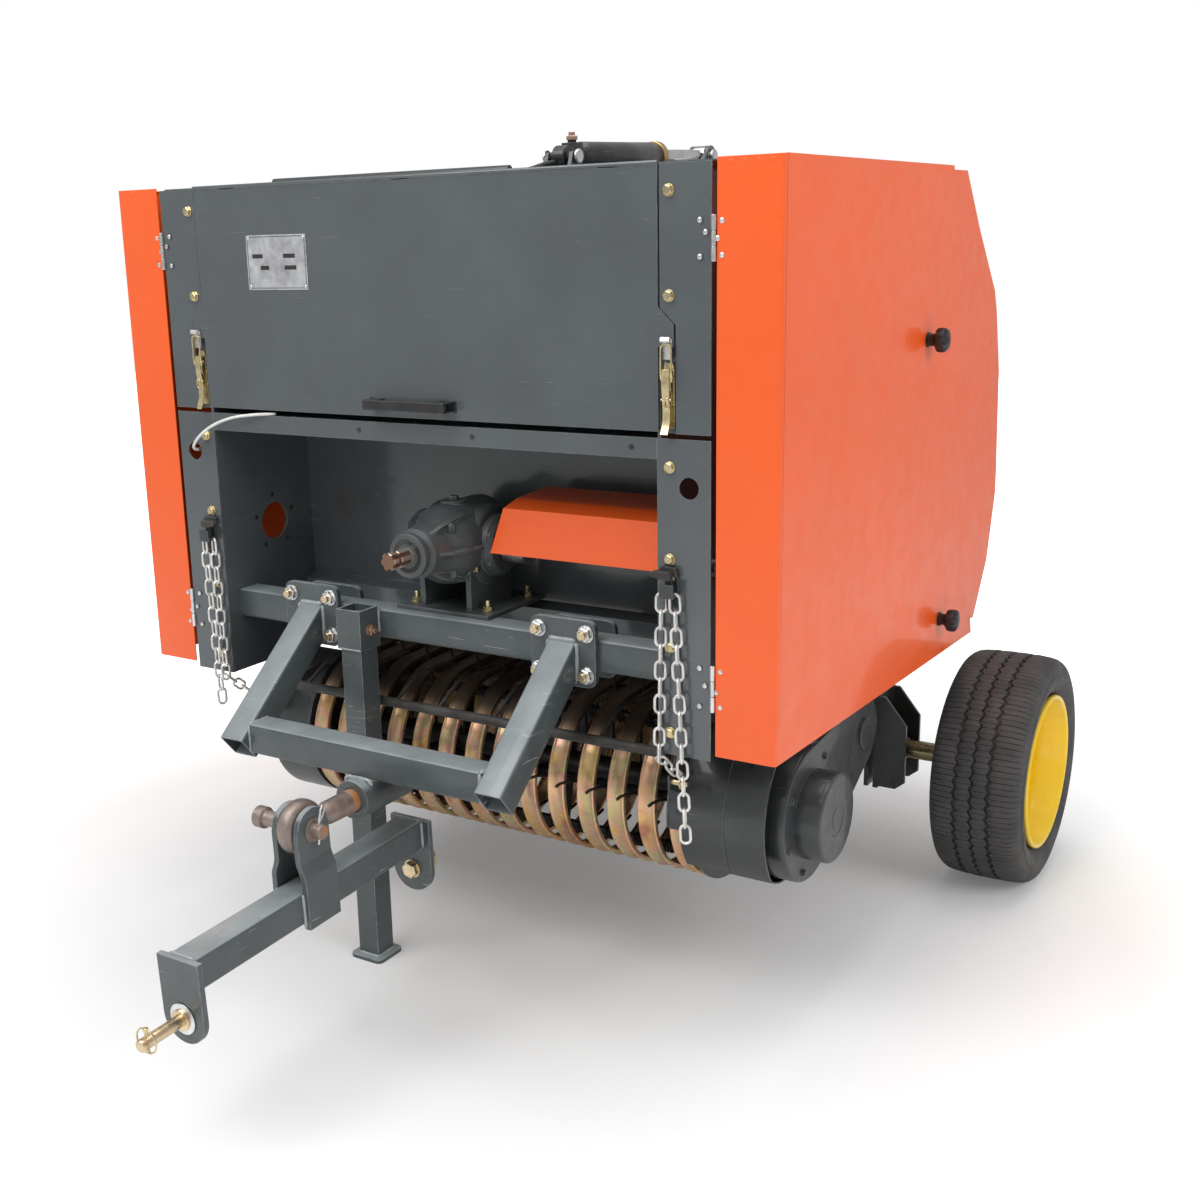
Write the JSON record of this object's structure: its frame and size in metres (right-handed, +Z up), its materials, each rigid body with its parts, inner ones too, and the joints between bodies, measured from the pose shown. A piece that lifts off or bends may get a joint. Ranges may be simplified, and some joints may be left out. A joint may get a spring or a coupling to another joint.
{
  "type": "round baler",
  "caption": "Small trailed round baler: steel roller chamber with a lifting tailgate, tined pickup, hinged side covers, front hatch, drawbar with swivel eye and a stand leg.",
  "frame": {"origin": "on the ground under the middle of the machine's bounding box", "axes": "+Z up, +Y towards the rear (tailgate), +X towards the machine's left side"},
  "size_m": [1.881, 2.103, 1.6565],
  "materials": {
    "grey": "anthracite gloss paint",
    "orange": "orange gloss paint",
    "zinc": "zinc plated steel",
    "bare": "bare steel with surface rust",
    "chrome": "hard chrome",
    "yellow": "yellow gloss paint",
    "rubber": "black tyre rubber",
    "cast": "painted casting",
    "dark": "dark grey paint",
    "cord": "white woven cord"
  },
  "bodies": {
    "frame": {"side_walls": "grey", "front_plates": "grey", "front_panel": "grey", "twine_box_floor": "grey", "roof": "grey", "front_rollers": "bare", "chamber_floor": "grey", "beam": "grey", "hitch_arms": "grey", "hitch_cross_tube": "grey", "stand_sleeve": "grey", "chain_hooks": "grey", "chain_left": "zinc", "chain_right": "zinc", "gearbox": "cast", "cross_shaft": "dark", "shaft_guard": "orange", "axle_beam": "grey", "stub_axles": "grey", "axle_brackets": "grey", "tailgate_shaft": "grey", "cylinder_bracket": "grey", "roof_shaft": "dark", "hatch_latches": "zinc", "twine_cord": "cord"},
    "hatch": {"hatch": "grey", "hatch_handle": "grey", "hatch_hooks": "zinc"},
    "cover_left": {"cover_left": "orange"},
    "cover_right": {"cover_right": "orange"},
    "tailgate": {"tailgate_walls": "grey", "tailgate_skin": "grey", "tailgate_rollers": "bare", "tailgate_cover_left": "orange", "tailgate_cover_right": "orange", "tailgate_tube": "grey"},
    "cylinder_barrel": {"cylinder_barrel": "dark"},
    "cylinder_rod": {"cylinder_rod": "chrome"},
    "pickup": {"pickup_bands": "zinc", "pickup_tube": "dark", "pickup_ends": "dark", "pickup_shields": "dark", "lift_bolts": "bare", "chain_case": "dark", "wind_guard": "dark"},
    "reel": {"reel": "dark", "reel_shaft": "dark"},
    "pto": {"pto_shaft": "bare"},
    "stand": {"stand_leg": "grey"},
    "hitch_eye": {"hitch_eye": "bare"},
    "hitch_bar": {"hitch_bar": "grey", "hitch_clevis": "grey", "hitch_pins": "bare"},
    "wheel_left": {"tyre_left": "rubber", "rim_left": "yellow"},
    "wheel_right": {"tyre_right": "rubber", "rim_right": "yellow"}
  },
  "joints": [
    {"name": "wheel_left_spin", "type": "hinge", "parent": "frame", "child": "wheel_left", "pos_m": [0.839, 0.79145, 0.26], "axis": [1, 0, 0], "continuous": true},
    {"name": "wheel_right_spin", "type": "hinge", "parent": "frame", "child": "wheel_right", "pos_m": [-0.839, 0.79145, 0.26], "axis": [1, 0, 0], "continuous": true},
    {"name": "pto_spin", "type": "hinge", "parent": "frame", "child": "pto", "pos_m": [0, -0.27455, 0.885], "axis": [0, 1, 0], "continuous": true},
    {"name": "pickup_lift", "type": "hinge", "parent": "frame", "child": "pickup", "pos_m": [0, 0.24945, 0.48], "axis": [-1, 0, 0], "range_deg": [-28, 0]},
    {"name": "reel_spin", "type": "hinge", "parent": "pickup", "child": "reel", "pos_m": [0, -0.01155, 0.4], "axis": [1, 0, 0], "continuous": true},
    {"name": "tailgate_lift", "type": "hinge", "parent": "frame", "child": "tailgate", "pos_m": [0, 0.52545, 1.53], "axis": [1, 0, 0], "range_deg": [0, 60]},
    {"name": "cylinder_swing", "type": "hinge", "parent": "frame", "child": "cylinder_barrel", "pos_m": [0.1, 0.11645, 1.614], "axis": [1, 0, 0], "range_deg": [0, 16.79]},
    {"name": "cylinder_stroke", "type": "slide", "parent": "cylinder_barrel", "child": "cylinder_rod", "axis": [0, 0.9996, 0.0298], "range_m": [-0.1666, 0]},
    {"name": "hatch_hinge", "type": "hinge", "parent": "frame", "child": "hatch", "pos_m": [0, -0.27555, 1.5745], "axis": [-1, 0, 0], "range_deg": [0, 100]},
    {"name": "cover_left_hinge", "type": "hinge", "parent": "frame", "child": "cover_left", "pos_m": [0.622, -0.27555, 1.08], "axis": [0, 0, -1], "range_deg": [0, 110]},
    {"name": "cover_right_hinge", "type": "hinge", "parent": "frame", "child": "cover_right", "pos_m": [-0.622, -0.27555, 1.08], "axis": [0, 0, 1], "range_deg": [0, 110]},
    {"name": "stand_slide", "type": "slide", "parent": "frame", "child": "stand", "axis": [0, 0, 1], "range_m": [0, 0.25]},
    {"name": "hitch_swivel", "type": "hinge", "parent": "frame", "child": "hitch_eye", "pos_m": [0, -0.43455, 0.463], "axis": [0, 1, 0], "range_deg": [-25, 25]},
    {"name": "hitch_pitch", "type": "hinge", "parent": "hitch_eye", "child": "hitch_bar", "pos_m": [0, -0.65055, 0.463], "axis": [1, 0, 0], "range_deg": [-8, 8]}
  ],
  "couplings": [
    {"joint": "cylinder_swing", "follows": "tailgate_lift", "ratio": 0.27156},
    {"joint": "cylinder_stroke", "follows": "tailgate_lift", "m_per_rad": -0.15716}
  ]
}
